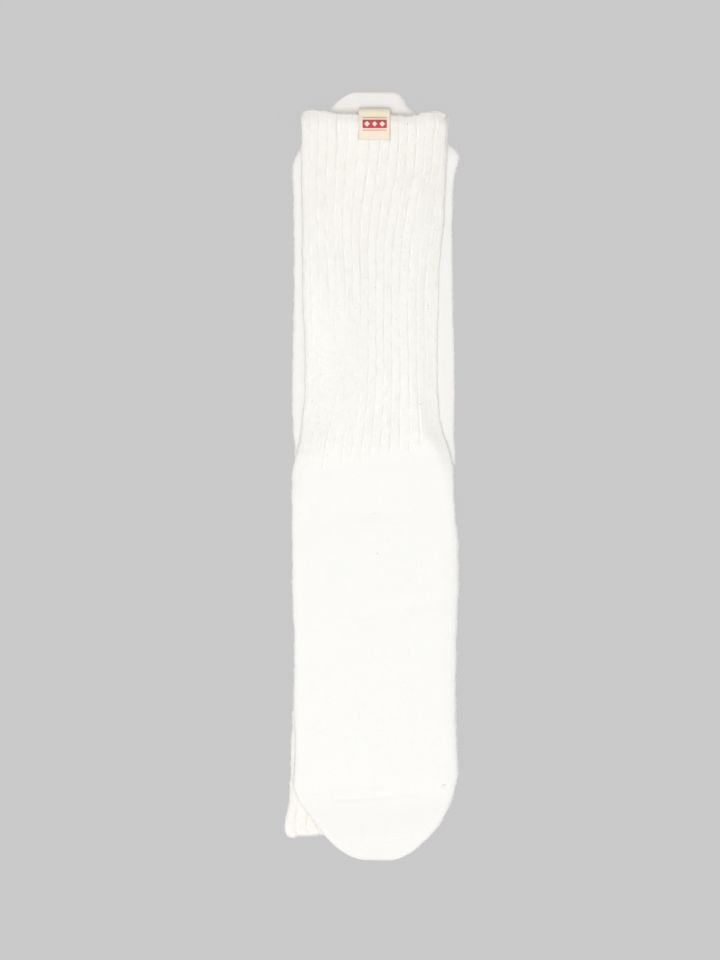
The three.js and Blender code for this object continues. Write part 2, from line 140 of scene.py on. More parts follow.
UPPER_FOOT = table("""
-47.1 -8.5 48.8 2 2.5
-47.1 -23.5 49.5 -17.5 1
-47 -41 51.4 -38.5 0
-46.8 -59.5 52 -58.5 0
-46.6 -74.5 51.8 -74.5 0
-46 -90 51.1 -90 0
-45.6 -107.5 50.6 -107.5 0
-45.9 -128.5 50.3 -128.5 0
-45.7 -146.5 50.5 -144.5 0
-45.3 -161.5 50.9 -159 0
-45.7 -175 51.5 -170 -1.5
-46.2 -184.5 51.6 -178 -3
""")
UPPER_TOE = table("""
-44 -192.5 50.3 -185.5 -3.5
-41.2 -197 48.8 -192 -3
-37.4 -202 46.3 -198 -2
-31 -210.5 40.7 -208 -1
-25.3 -217.8 35.2 -215.2 -0.5
-20 -222.6 29.6 -220.4 0
-14.1 -226.6 23 -225.8 0
-8.9 -229 17 -228.9 0
-4.1 -230.3 11 -230.3 0
""")
LOWER_LEG = table("""
-48.6 -217 40.5 -202 -2.8 -24.5 -2.8 18 36.5
-51.5 -211 41 -197.5 -1.5 -25 -3.4 18 37
-50.1 -201.5 41 -189 0 -25 -3.4 18 37
-48.6 -188.5 40.5 -179 0 -26.5 -4.6 17 36.5
-47.6 -159.5 39.2 -155 0 -27.2 -6.7 14.5 35
-46.4 -134.5 38 -132.5 0 -26.5 -6.5 13.5 33.5
-45.8 -107.5 37.4 -107.5 0 -26.2 -6.6 13 32.5
-44.8 -86.5 38 -86.5 0 -25.3 -5.8 13.7 33.2
-43.6 -65.5 38 -65.5 0 -24.4 -5.2 14 33.2
-42.5 -46 39.2 -46 0 -23.3 -4 15.2 34.4
-43.4 -32.5 41.6 -35.5 0 -23.4 -3.4 16.6 36.6
-44.8 -23 45.2 -26.5 0 -23.6 -2.5 18.7 39.9
-46 -12.5 48.2 -16.5 0 -23.8 -1.7 20.5 42.7
""")
LOWER_FOOT = table("""
-45.8 -1 49 -3.5 0
-45.5 12.5 50 12.5 0
-46.5 29 49.3 29 0
-47 48.5 49.7 48.5 0
-47 66.5 49.5 66.5 0
-46.5 87.5 49.1 87.5 0
-46 111.5 48.6 111.5 0
-46 132.5 48.3 132.5 0
-46.1 150.5 48.2 150.5 0
-46.1 165.5 48.6 165.5 0
-46.8 177.5 49.3 179 0
-47 185.5 51.2 187.5 0
""")
LOWER_TOE = table("""
-46 190.5 52.3 192.5 1
-42.7 196.2 49.7 196.5 1
-36.5 204.6 41 204.6 1
-30.8 212.4 33.2 212.4 0
-26.6 217.8 26.9 217.8 0
-23.3 222 21.8 222 0
-19.8 225.8 19.4 225.8 0
-15.4 228.8 17.3 228.8 0
-10.4 231.4 14.4 231.4 0
""")

# At distances from the cuff, for each edge: the share of a sock's front that slopes down gently
# towards it, how far in that slope reaches, and the height at which front and back meet. The fold
# is the radius of both edges, seen from above.
EDGE_COLUMNS = (
    "along", "leftShare", "leftReach", "leftMeet", "rightShare", "rightReach", "rightMeet", "fold"
)
UPPER_EDGES = table("""
0 0.25 6 2.2 0.8 16 1.6 1.2
15 0.25 6 2.1 0.85 16 1.3 1.3
40 0.3 7 1.8 1 18 0.45 2
120 0.4 9 1.1 1 20 0.2 2
185 0.6 11 0.8 1 14 0.4 2
205 0.4 8 1.2 0.65 9 1 2
228 0.2 6 2 0.3 6 1.9 1.8
265 0.1 5 2.2 0.1 5 2.1 1.7
450 0.1 4 2.2 0 4 2.3 1.6
""")
LOWER_EDGES = table("""
0 0.1 4 2.2 0.2 6 2.2 1.6
220 0.1 4 2.2 0.2 6 2.2 2
270 0.15 4 2.2 0.5 10 1.8 1.6
420 0.15 4 2.2 0.4 8 1.9 1.6
450 0.1 3 2.2 0.1 3 2.2 1.6
""")

# Soft folds: a line's start and end in X and Y, the height by which it is raised or sunk, and the
# reach over which it fades.
UPPER_CREASES = table("""
-36 32 -44 10 0.5 5
50 -72 -6 -84 -0.35 8
-12 -22 20 -23 -0.3 7
38 -160 50 -182 -0.3 8
""")
LOWER_CREASES = table("""
48 150 36 176 -0.25 8
-44 96 -38 60 -0.2 7
""")

# Places where the ribs are pulled flatter: the middle and the reach in X and Y, and how much of the
# groove is lost there. A negative loss deepens it.
UPPER_FLATTENED = table("""
-21 72 24 52 0.85
-34 158 14 40 0.35
36 160 12 24 0.7
38 110 12 50 0.4
26 92 12 36 0.3
41 66 8 84 0.9
38 206 16 18 0.35
-38 20 10 26 0.8
""")
LOWER_FLATTENED = table("-45 -205 26 34 -0.5")

# How far the cuff's edge stands out past its straight line, at each X.
UPPER_RIM = table("""
-42.6 -2
-41.3 1.8
-39.5 2.5
-37.6 3
-31 2.7
-26 1.5
-20 0.7
-8 0.3
6 -0.2
14 -0.8
22 -1.2
27 -1
30 0.4
34 1.4
40 1.7
43.6 0.6
45.6 -2
""")
LOWER_RIM = table("""
-52 0.9
-47 0.2
-43 -0.6
-34 -0.4
0 0.2
41 0
""")

# ---- Small helpers ----


def smooth_step(value, low, high):
    share = np.clip((value - low) / (high - low), 0, 1)
    return share * share * (3 - 2 * share)


def smooth_through(known_at, values, at):
    """A smooth curve through the values that doesn't overshoot them, read at the places given."""
    step = np.diff(known_at)
    rise = np.diff(values) / step
    slope = np.concatenate([rise[:1], np.zeros(len(rise) - 1), rise[-1:]])
    same_way = rise[:-1] * rise[1:] > 0
    before = np.where(same_way, rise[:-1], 1)
    after = np.where(same_way, rise[1:], 1)
    heavy = 2 * step[1:] + step[:-1]
    light = step[1:] + 2 * step[:-1]
    slope[1:-1] = np.where(same_way, (heavy + light) / (heavy / before + light / after), 0)
    i = np.clip(np.searchsorted(known_at, at, side="right") - 1, 0, len(step) - 1)
    share = (at - known_at[i]) / step[i]
    cubic, square = share**3, share**2
    return (
        (2 * cubic - 3 * square + 1) * values[i]
        + (cubic - 2 * square + share) * step[i] * slope[i]
        + (3 * square - 2 * cubic) * values[i + 1]
        + (cubic - square) * step[i] * slope[i + 1]
    )


def waves(seed, x, y, size, count=7):
    """Smooth unevenness between about -1 and 1, with features of the size given."""
    rng = np.random.default_rng(seed)
    total = np.zeros(np.broadcast(x, y).shape)
    for _ in range(count):
        turn = rng.uniform(0, 2 * math.pi)
        phase = rng.uniform(0, 2 * math.pi)
        rate = 2 * math.pi / (size * rng.uniform(0.7, 1.8))
        total = total + np.sin((x * math.cos(turn) + y * math.sin(turn)) * rate + phase)
    return total / math.sqrt(2 * count)


def distance_to_segment(x, y, start, end):
    run_x, run_y = end[0] - start[0], end[1] - start[1]
    length2 = run_x**2 + run_y**2
    share = np.clip(((x - start[0]) * run_x + (y - start[1]) * run_y) / length2, 0, 1)
    return np.hypot(x - start[0] - share * run_x, y - start[1] - share * run_y)


def crease_height(creases, x, y):
    total = np.zeros_like(x)
    for *line, height, reach in creases:
        away = distance_to_segment(x, y, line[:2], line[2:])
        total += height * (1 - smooth_step(away, 0, reach))
    return total


def distance_outside(loop, x, y):
    """How far each point lies outside a loop of points, and 0 inside it."""
    inside = np.zeros(x.shape, bool)
    nearest = np.full(x.shape, np.inf)
    for start, end in zip(loop, np.roll(loop, -1, axis=0)):
        if start[1] != end[1]:
            at = start[0] + (y - start[1]) / (end[1] - start[1]) * (end[0] - start[0])
            inside ^= ((start[1] > y) != (end[1] > y)) & (x < at)
        nearest = np.minimum(nearest, distance_to_segment(x, y, start, end))
    return np.where(inside, 0, nearest)


# ---- A sock's form ----


def point_across(section, share):
    """X and Y at a share of the way from a section's left edge to its right one."""
    x = section["leftX"] + (section["rightX"] - section["leftX"]) * share
    y = section["leftY"] + (section["rightY"] - section["leftY"]) * share
    return x, y + section["bow"] * 4 * share * (1 - share)


class Sock:
    """A sock that lies flat: its sections, and the point of its outside at any place."""

    def __init__(self, leg, foot, toe, rim, edges, **facts):
        """The facts are toeward, 1 for a toe towards +Y and -1 for one towards -Y, creases,
        flattened, gape, roll, heel_rise, seed, and tones, of the foot and of the toe: how far each
        takes the darker toe colour, as painted shade on the lower sock and a darker tone on the
        upper sock's toe."""
        vars(self).update(facts)
        self.rim = np.array(rim, float).T
        self.edges = np.array(edges, float).T
        columns = np.array(leg + [self._even(row) for row in foot + toe], float).T
        self.columns = dict(zip(COLUMNS, columns))
        middle = (self.columns["leftY"] + self.columns["rightY"]) / 2 + self.columns["bow"]
        self.known_at = np.abs(middle - middle[0])
        self.length = self.known_at[-1]
        self.rib_end = self.known_at[len(leg) - 1]
        self.seam = self.known_at[len(leg) + len(foot)]
        self.ground = lambda x, y: np.zeros_like(x)

    def _even(self, row):
        left, right = row[0], row[2]
        return row + tuple(left + (right - left) * rib / RIBS for rib in GUIDED_RIBS)

    def _column(self, name, along):
        return smooth_through(self.known_at, self.columns[name], along)

    def section(self, along):
        """Every column of the section table, at distances along the sock from its cuff, with the
        edges moved out by the nap."""
        at = {name: self._column(name, along)[:, None] for name in COLUMNS}
        for edge, outward in (("left", -1), ("right", 1)):
            before, after = (np.clip(along + step, 0, self.length) for step in (-0.5, 0.5))
            run_x, run_y = (
                self._column(edge + axis, after) - self._column(edge + axis, before)
                for axis in "XY"
            )
            length = np.hypot(run_x, run_y)
            nap = NAP + NAP_WOBBLE * waves(self.seed + 7 + outward, along, 0, 11)
            rough = NAP_ROUGH + CUFF_ROUGH * (1 - smooth_step(along, *ROUGH_SPAN))
            nap = nap + rough * waves(self.seed + 31 + outward, along, 0, 4)
            turn = outward * self.toeward * nap / length
            at[edge + "X"] = at[edge + "X"] + (turn * run_y)[:, None]
            at[edge + "Y"] = at[edge + "Y"] - (turn * run_x)[:, None]
        return at

    def outline(self):
        left = list(zip(self.columns["leftX"], self.columns["leftY"]))
        right = list(zip(self.columns["rightX"], self.columns["rightY"]))
        first, last = [{name: row[i] for name, row in self.columns.items()} for i in (0, -1)]
        tip = [point_across(last, share) for share in (0.25, 0.5, 0.75)]
        rim = [point_across(first, share) for share in (0.75, 0.5, 0.25)]
        return np.array(left + tip + right[::-1] + rim)

    def extra_space(self, along, share):
        """What the gaping mouth and the heel's pocket add between the panels."""
        fullness = 1 - np.abs(2 * share - 1) ** 6
        mouth = self.gape * (1 - smooth_step(along, 0, MOUTH_REACH))
        heel = self.heel_rise * (1 - smooth_step(np.abs(along - self.rib_end), 0, HEEL_REACH))
        return (mouth + heel) * fullness

    def rib_sink(self, ribs, along, x, y, front):
        """The depth of the surface below the ribs' crests."""
        from_crest = np.abs(2 * (ribs % 1) - 1)
        number = 37 * ribs.round()
        kept = RIB_MEAN + RIB_UNEVEN * waves(self.seed + 1, number, along, 40)
        kept = kept + RIB_BROKEN * waves(self.seed + 4, number, along, 7)
        kept = np.clip(kept, *RIB_RANGE)
        if front:
            for middle_x, middle_y, reach_x, reach_y, loss in self.flattened:
                away = np.hypot((x - middle_x) / reach_x, (y - middle_y) / reach_y)
                kept = kept * (1 - loss * (1 - smooth_step(away, 0.55, 1.15)))
        end = self.rib_end + 3 * waves(self.seed + 2, ribs.round() * 11, 0 * along, 30)
        fade = 1 - smooth_step(along, end - RIB_FADE, end + RIB_FADE / 4)
        dome = DOME * np.clip(0.3 + kept, 0, 1)
        lip = np.exp(-(((ribs % 1 - LIP_PLACE) / LIP_WIDTH) ** 2)) * np.clip(kept + 0.1, 0, 1)
        broken = waves(self.seed + 8, 29 * np.floor(ribs), along, 11)
        lip = lip * np.clip(0.6 + 0.7 * broken, 0, 1.3)
        fade = fade * (WELT_SHARE + (1 - WELT_SHARE) * smooth_step(along, 0.5, WELT))
        groove = GROOVE_DEPTH * kept * from_crest**GROOVE_POWER
        return (groove + dome * from_crest**2 - LIP_HEIGHT * lip) * fade

    def points(self, along, ribs, side, ribbed=True):
        """Points of the outside, their outward directions, how deep they lie in a groove, the
        sock's thickness there and the wall's at its edge. Along is a column of distances from the
        cuff, ribs a row of places across a panel, and side 1 on the front and -1 on the back."""
        along = np.asarray(along, float)
        c = self.section(along)
        along = along[:, None]
        ribs = np.asarray(ribs, float)[None, :]
        width = np.hypot(c["rightX"] - c["leftX"], c["rightY"] - c["leftY"])
        edge = {
            name: np.interp(along, self.edges[0], column)
            for name, column in zip(EDGE_COLUMNS[1:], self.edges[1:])
        }
        fold = edge["fold"]
        quarter = fold * math.pi / 2
        around = width - 2 * fold + 2 * quarter
        reach = self._reach(c, along, around, ribs, side, quarter - fold)
        left_angle = np.clip(reach / fold, 0, math.pi / 2)
        right_angle = np.clip((around - reach) / fold, 0, math.pi / 2)
        place = np.clip(reach - quarter + fold, fold, width - fold)
        place = place + fold * (np.cos(right_angle) - np.cos(left_angle))
        rise = np.minimum(np.sin(left_angle), np.sin(right_angle))
        share = place / width
        x, y = point_across(c, share)
        rise_at_rim = np.interp(x, *self.rim) + 0.18 * waves(self.seed + 9, x, 0, 6)
        y = y - self.toeward * rise_at_rim * (1 - smooth_step(along, 0, RIM_REACH))
        thickness = np.sqrt(1 - (1 - np.clip((self.length - along) / TOE_ROUND, 0.01, 1)) ** 2)
        full = 2 * HALF + self.extra_space(along, share)
        meeting = edge["leftMeet"] + (edge["rightMeet"] - edge["leftMeet"]) * share
        meeting = meeting + (full / 2 - meeting) * (1 - thickness)
        slope = self._slope(edge, place, width, left_angle, right_angle)
        height = (full - meeting) * slope if side > 0 else -meeting * rise
        z = self.ground(x, y) + meeting + height * thickness
        normal_x = np.cos(right_angle) - np.cos(left_angle) + 0 * x
        normal_z = side * rise
        if side > 0:
            z = z + crease_height(self.creases, x, y) * rise
            z = z + 0.14 * waves(self.seed + 3, x, y, 26) * rise * thickness
            z = z - self.roll * (1 - smooth_step(along, 0, ROLL_REACH)) * rise
        else:
            hollow = np.clip(waves(self.seed + 12, x, y, 24), 0, 1)
            hollow = hollow + np.clip(waves(self.seed + 13, 2.5 * x, y, 30), 0, 1)
            z = z + BACK_UNEVEN * hollow * rise * thickness
        room = ((full - meeting) * slope + meeting * rise) * thickness
        sink = 0 * x
        if ribbed:
            sink = self.rib_sink(ribs + 0 * x, along + 0 * x, x, y, side > 0) * thickness
            if side > 0:
                sink = sink + self._seam_sink(along, x) * rise
            else:
                sink = sink + self._gore_sink(along, share) * rise
            sink = np.minimum(sink, SINK_SHARE * room)
        position = np.stack([x - normal_x * sink, y + 0 * x, z - normal_z * sink], axis=-1)
        normal = np.stack([normal_x, 0 * x, normal_z + 0 * x], axis=-1)
        wall = np.clip(meeting, THIN_WALL, WALL) + 0 * x
        return position, normal, sink / GROOVE_DEPTH, room, wall

    def _seam_sink(self, along, x):
        total = 0 * x
        for legward, depth, left_x, right_x in SEAM_LINES:
            away = (along + legward - self.seam) / SEAM_WIDTH
            inside = smooth_step(x, left_x, left_x + SEAM_END)
            inside = inside * (1 - smooth_step(x, right_x - SEAM_END, right_x))
            total = total + depth * np.exp(-(away**2)) * inside
        return total

    def _gore_sink(self, along, share):
        """The two slanting lines on each side of the turned heel, on the back."""
        inward = np.minimum(share, 1 - share)
        total = 0 * inward
        for start, end in GORE_LINES:
            line = (self.rib_end + start) + (end - start) * inward / GORE_INWARD
            away = (along - line) / SEAM_WIDTH
            total = total + GORE_DEPTH * np.exp(-(away**2)) * (inward < GORE_INWARD)
        return total

    def _slope(self, edge, place, width, left_angle, right_angle):
        """The front's height at each place, as a share of its height in the middle."""
        height = 1
        for name, inward, angle in (
            ("left", place, left_angle),
            ("right", width - place, right_angle),
        ):
            gentle = smooth_step(inward / edge[name + "Reach"], 0, 1)
            share = edge[name + "Share"]
            height = height * ((1 - share) * np.sin(angle) + share * gentle)
        return height

    def _reach(self, c, along, around, ribs, side, turned):
        """How far round the section each place across lies, from the left fold."""
        if side < 0:
            return around * ribs / RIBS
        guides = [c[f"rib{rib}"] - c["leftX"] + turned for rib in GUIDED_RIBS]
        guides = np.concatenate([0 * around, *guides, around], axis=1)
        known = np.array([0, *GUIDED_RIBS, RIBS], float)
        reach = np.array([smooth_through(known, row, ribs[0]) for row in guides])
        inward = np.clip(np.minimum(ribs, RIBS - ribs), 0, 1)
        groove = 53 * ribs.round()
        wander = waves(self.seed + 5, groove, along, 16)
        wander = wander + 0.4 * waves(self.seed + 6, groove, along, 5)
        return reach + RIB_WOBBLE * inward * wander


def sock_rows(sock):
    """Distances from the cuff at which the outside has a row of points."""
    body = np.arange(WALL / 2, sock.length - TIP_LENGTH, ROW_STEP)
    for legward in {line[0] for line in SEAM_LINES}:
        middle = sock.seam - legward
        near = middle + np.array([-1.2, -0.6, 0, 0.6, 1.2])
        body = np.sort(np.concatenate([body[np.abs(body - middle) > 1.7], near]))
    tip = np.arange(sock.length - TIP_LENGTH, sock.length - 0.02, TIP_STEP)
    return np.concatenate([body, tip, [sock.length - 0.02]])


def around_ring(sock, along, ribbed, depth):
    """Rings of points right round the sock, the front from left to right and then the back, at a
    depth below the outside, with each point's place across in ribs."""
    places = np.array([rib + part for rib in range(RIBS) for part in RIB_SAMPLES])
    front = sock.points(along, places, 1, ribbed)
    back = sock.points(along, RIBS - places, -1, ribbed)
    ring, normal, sink, room, wall = (np.concatenate(pair, axis=1) for pair in zip(front, back))
    inward = normal * depth
    inward[..., 0] = normal[..., 0] * np.minimum(depth, wall)
    thin, thick = WALL_SHARES
    most = room * (thin + (thick - thin) * smooth_step(room, 2, 5))
    inward[..., 2] = np.clip(inward[..., 2], -most, most)
    return ring - inward, sink, np.concatenate([places, RIBS + places])


def sock_rings(sock):
    """All rings, from the toe's tip on the outside, over the cuff's edge, to the inside's end."""
    outside_rows = sock_rows(sock)
    outside, outside_sink, places = around_ring(sock, outside_rows, True, 0)
    lips, lip_sinks, lip_rows = [], [], []
    for angle in LIP_ANGLES:
        away = WALL / 2 * (1 - math.cos(math.radians(angle)))
        depth = WALL / 2 * (1 - math.sin(math.radians(angle)))
        lip, sink, _ = around_ring(sock, [away], True, depth)
        fade = max(0, 1 - depth / (0.8 * WALL))
        plain, _, _ = around_ring(sock, [away], False, depth)
        lips.append(plain + (lip - plain) * fade)
        lip_sinks.append(sink * fade)
        lip_rows.append(away)
    inside_rows = np.arange(WALL / 2, sock.length - INNER_END, INNER_STEP)
    inside, _, _ = around_ring(sock, inside_rows, False, WALL)
    rings = np.concatenate([outside[::-1], *lips, inside])
    sinks = np.concatenate([outside_sink[::-1], *lip_sinks, np.zeros(inside.shape[:2])])
    along = np.concatenate([outside_rows[::-1], lip_rows, -inside_rows])
    return rings, sinks, along, places


def tube_faces(rows, count, start=0):
    """Quads between rings of points."""
    row = np.arange(rows - 1)[:, None] * count + start
    first = np.arange(count)[None, :]
    second = (first + 1) % count
    sides = [row + first, row + second, row + count + second, row + count + first]
    return np.stack(sides, -1).reshape(-1, 4).tolist()


def ring_faces(rows, count):
    """Quads between rings of points, and quads that close the first and the last ring flat."""
    half = count // 2
    left = np.arange(half)
    right = (count - left) % count
    after = (count - left - 1) % count
    cap = np.stack([left, right, after, left + 1], -1)[1:-1]
    corners = np.array([[0, count - 1, 1], [half - 1, half + 1, half]])
    last = (rows - 1) * count
    faces = tube_faces(rows, count)
    for cap in (cap, cap[:, ::-1] + last, corners, corners[:, ::-1] + last):
        faces += cap.tolist()
    return faces


def new_object(name, data):
    obj = bpy.data.objects.new(name, data)
    bpy.context.scene.collection.objects.link(obj)
    return obj


def new_mesh(name, points, faces):
    mesh = bpy.data.meshes.new(name)
    mesh.from_pydata((np.asarray(points) * MM).tolist(), [], faces)
    mesh.update()
    mesh.shade_smooth()
    return new_object(name, mesh)


def read_numbers(items, name):
    values = np.zeros(len(items), np.int64)
    items.foreach_get(name, values)
    return values


def add_uv_map(obj, name, u, v):
    layer = obj.data.uv_layers.new(name=name)
    layer.data.foreach_set("uv", np.stack([u, v], axis=-1).astype(np.float32).ravel())


def knit_coordinates(obj, sock, ring_along, places, points):
    """A UV map that counts stitches: U in wales round the sock and V in courses along it. The toe
    is knitted narrower, so its wales keep their width there."""
    count = len(places)
    loops = read_numbers(obj.data.loops, "vertex_index")
    place = places[loops % count].copy()
    starts = read_numbers(obj.data.polygons, "loop_start")
    totals = read_numbers(obj.data.polygons, "loop_total")
    face_of_loop = np.repeat(np.arange(len(starts)), totals)
    highest = np.maximum.reduceat(place, starts)[face_of_loop]
    place[(place == 0) & (highest > RIBS)] = 2 * RIBS
    along = np.abs(ring_along[loops // count])
    nearest = np.minimum.reduceat(along, starts)[face_of_loop]
    in_toe = nearest >= sock.seam - 0.01
    wales = np.where(in_toe, points[loops, 0] / WALE + 0.5, place * WALES_PER_RIB)
    add_uv_map(obj, "knit", wales, along / COURSE)


def make_sock(name, sock):
    rings, sinks, along, places = sock_rings(sock)
    points = rings.reshape(-1, 3)
    obj = new_mesh(name, points, ring_faces(len(rings), rings.shape[1]))
    knit_coordinates(obj, sock, along, places, points)
    past = np.abs(along)[:, None] + 0 * sinks
    foot, toe = sock.tones
    tones = {
        # hollow is how deep a point lies in a groove; it drives the painted shade in the grooves
        # and the painted highlight beside them
        "hollow": sinks,
        "plain": smooth_step(past, sock.rib_end - 12, sock.rib_end + 6),
        # painted light: a share that grows from the cuff along the leg, for a lighter colour there
        "painted_leg_light": smooth_step(past, 20, sock.rib_end - 60),
        # painted shade on the lower sock's foot and toe, and a darker tone on the upper sock's toe
        "toe": foot + (toe - foot) * smooth_step(past, sock.seam - 2, sock.seam + 10),
    }
    for attribute, values in tones.items():
        layer = obj.data.attributes.new(attribute, "FLOAT", "POINT")
        layer.data.foreach_set("value", values.astype(np.float32).ravel())
    return obj


# The lower sock's foot and toe are coloured darker as painted shade; the upper sock's toe is a
# little darker in tone.
lower = Sock(
    LOWER_LEG, LOWER_FOOT, LOWER_TOE, LOWER_RIM, LOWER_EDGES,
    toeward=1, creases=LOWER_CREASES, flattened=LOWER_FLATTENED, gape=0, roll=LOWER_ROLL,
    heel_rise=0, tones=(0.3, 1), seed=40,
)
upper = Sock(
    UPPER_LEG, UPPER_FOOT, UPPER_TOE, UPPER_RIM, UPPER_EDGES,
    toeward=-1, creases=UPPER_CREASES, flattened=UPPER_FLATTENED, gape=MOUTH_GAPE, roll=UPPER_ROLL,
    heel_rise=HEEL_RISE, tones=(0, 0.35), seed=80,
)
lower_outline = lower.outline()


def on_lower_sock(x, y):
    """Height of the upper sock's underside, which falls to the surface past the lower sock."""
    fall = smooth_step(distance_outside(lower_outline, x, y), DROOP_START, DROOP_REACH)
    return CLEARANCE + 2 * HALF * (1 - fall)


upper.ground = on_lower_sock

# ---- The label ----
CUFF_Y = upper.columns["leftY"][0]
LABEL_LEFT, LABEL_RIGHT = -7.5, 11.2
LABEL_BOTTOM, LABEL_TOP = 201.7, 220.9
LABEL_THICKNESS = 0.55
LABEL_LIFT = 0.25  # above the ribs' crests
LABEL_TUCK = 7  # length inside the cuff
LABEL_FOLD = 3.6  # length of its soft fold past the cuff's edge
LABEL_DROOP = 0.13  # past the cuff's edge, for each square millimetre
LABEL_TAIL_LEVEL = 215.5  # Y at which the tail lies halfway up the sock's two panels
LABEL_TAIL_RISE = 0.075  # for each millimetre into the gaping cuff
LABEL_COLUMNS = 40
LABEL_STEP = 0.45


def label_line():
    """The label's middle line, up the front, over the cuff's edge and down inside it: distances
    along it, Y with the height above the upper sock's front, and how far it has turned in."""
    lift = LABEL_LIFT + LABEL_THICKNESS / 2
    drop = WALL + 2 * lift
    fold_y = LABEL_TOP - LABEL_THICKNESS / 2 - LABEL_FOLD
    front = [(y, lift) for y in np.arange(LABEL_BOTTOM, fold_y, LABEL_STEP)]
    angles = np.linspace(math.pi / 2, -math.pi / 2, 13)
    fold = [
        (fold_y + LABEL_FOLD * math.cos(a), lift + drop / 2 * (math.sin(a) - 1)) for a in angles
    ]
    inside_y = np.arange(fold_y - LABEL_STEP, fold_y - LABEL_TUCK, -LABEL_STEP)
    inside = [(y, lift - drop) for y in inside_y]
    line = np.array(front + fold + inside)
    steps = np.hypot(*np.diff(line, axis=0).T)
    distance = np.concatenate([[0], np.cumsum(steps)])
    fold_middle = len(front) + len(fold) // 2
    turned_in = smooth_step(distance, distance[fold_middle], distance[len(front) + len(fold)])
    return distance, line, turned_in


def front_height(x, y):
    """Height of the upper sock's front, over the ribs, near its cuff."""
    along = np.clip(CUFF_Y - y, 0, None)
    left, right = upper.columns["leftX"][0], upper.columns["rightX"][0]
    share = (x - left) / (right - left)
    return on_lower_sock(x, y) + 2 * HALF + upper.extra_space(along, share)


def make_label():
    """A woven strip with its weave measured in millimetres: U across it and V along it."""
    distance, line, turned_in = label_line()
    across = np.linspace(0, 1, LABEL_COLUMNS + 1)
    along = distance[:, None] + 0 * across
    edge_wave = 0.16 * waves(21, distance, 0, 7)[:, None] * np.array([-1, 1])
    left = LABEL_LEFT + edge_wave[:, :1]
    right = LABEL_RIGHT + edge_wave[:, 1:]
    x = left + (right - left) * across
    y = line[:, :1] + 0.25 * waves(22, x, 0, 14) * (1 - smooth_step(along, 0, 6))
    curl = 0.35 * (1 - smooth_step(along, 0, 2.5)) * smooth_step(np.abs(across - 0.45), 0.2, 0.55)
    z = front_height(x, np.minimum(y, CUFF_Y)) + line[:, 1:]
    from_rim = np.clip(CUFF_Y - y, 0, None)
    z = z - UPPER_ROLL * (1 - smooth_step(from_rim, 0, ROLL_REACH))
    z = z - LABEL_DROOP * np.clip(y - CUFF_Y, 0, None) ** 2
    z = z + 0.12 * waves(23, x, along, 9) + curl
    between = on_lower_sock(x, np.minimum(y, CUFF_Y)) + HALF
    between = between + LABEL_TAIL_RISE * (LABEL_TAIL_LEVEL - y)
    z = z + (between - z) * turned_in[:, None]
    middle = np.stack([x, y, z], axis=-1)
    run = np.gradient(line, axis=0)
    run = run / np.hypot(run[:, 0], run[:, 1])[:, None]
    normal = np.stack([0 * run[:, 0], -run[:, 1], run[:, 0]], axis=-1)[:, None, :]
    half = LABEL_THICKNESS / 2
    points = np.concatenate([middle + normal * half, (middle - normal * half)[:, ::-1]], axis=1)
    rows, count = points.shape[:2]
    cap = [[i, count - 1 - i, count - 2 - i, i + 1] for i in range(LABEL_COLUMNS)]
    end = (rows - 1) * count
    faces = tube_faces(rows, count) + cap + [[end + i for i in quad[::-1]] for quad in cap]
    obj = new_mesh("label_woven", points.reshape(-1, 3), faces)
    loops = read_numbers(obj.data.loops, "vertex_index")
    place = np.concatenate([across, across[::-1]])
    u = place[loops % count] * (LABEL_RIGHT - LABEL_LEFT)
    add_uv_map(obj, "weave", u, distance[loops // count])
    return obj


# ---- Loose yarn ----
FIBRE = 0.04  # width of a loose fibre
FIBRE_LENGTH = (0.6, 2.2)
FUZZ_COUNT = 11000  # on each panel of a sock
FUZZ_BATCH = 40  # whose sections are worked out together, as are LOOP_BATCH loops
LOOP_BATCH = 50
LOOP_RADIUS = 0.085
LOOP_COUNT = 1300
LOOP_STEP = (0.6, 2)  # between a loop's two feet
LOOP_HEIGHT = (0.2, 1.2)
CUFF_LOOPS = 0.25  # share of the loops that are round the cuff


def strand_mesh(name, paths, radius, sides=5):
    """Thin round strands along paths of points, all in one mesh."""
    points, faces = [], []
    turns = (2 * math.pi * np.arange(sides) / sides)[None, :, None]
    for path in paths:
        path = np.array(path, float)
        run = np.gradient(path, axis=0)
        run /= np.linalg.norm(run, axis=1)[:, None]
        across = np.cross(run, [0, 0, 1])
        across /= np.maximum(np.linalg.norm(across, axis=1), 1e-6)[:, None]
        up = np.cross(across, run)
        start = len(points)
        thin = radius * np.sqrt(np.clip(1 - np.linspace(-1, 1, len(path)) ** 6, 0.05, 1))
        ring = np.cos(turns) * across[:, None] + np.sin(turns) * up[:, None]
        points.extend((path[:, None] + thin[:, None, None] * ring).reshape(-1, 3))
        faces += tube_faces(len(path), sides, start)
        end = start + (len(path) - 1) * sides
        faces += [list(range(start, start + sides))[::-1], list(range(end, end + sides))]
    return new_mesh(name, points, faces)


def surface_at(sock, along, ribs):
    """Points on a sock's front, one for each pair of along and ribs."""
    found = []
    for start in range(0, len(along), LOOP_BATCH):
        part = slice(start, start + LOOP_BATCH)
        position = sock.points(along[part], ribs[part], 1)[0]
        index = np.arange(len(position))
        found.append(position[index, index])
    return np.concatenate(found)


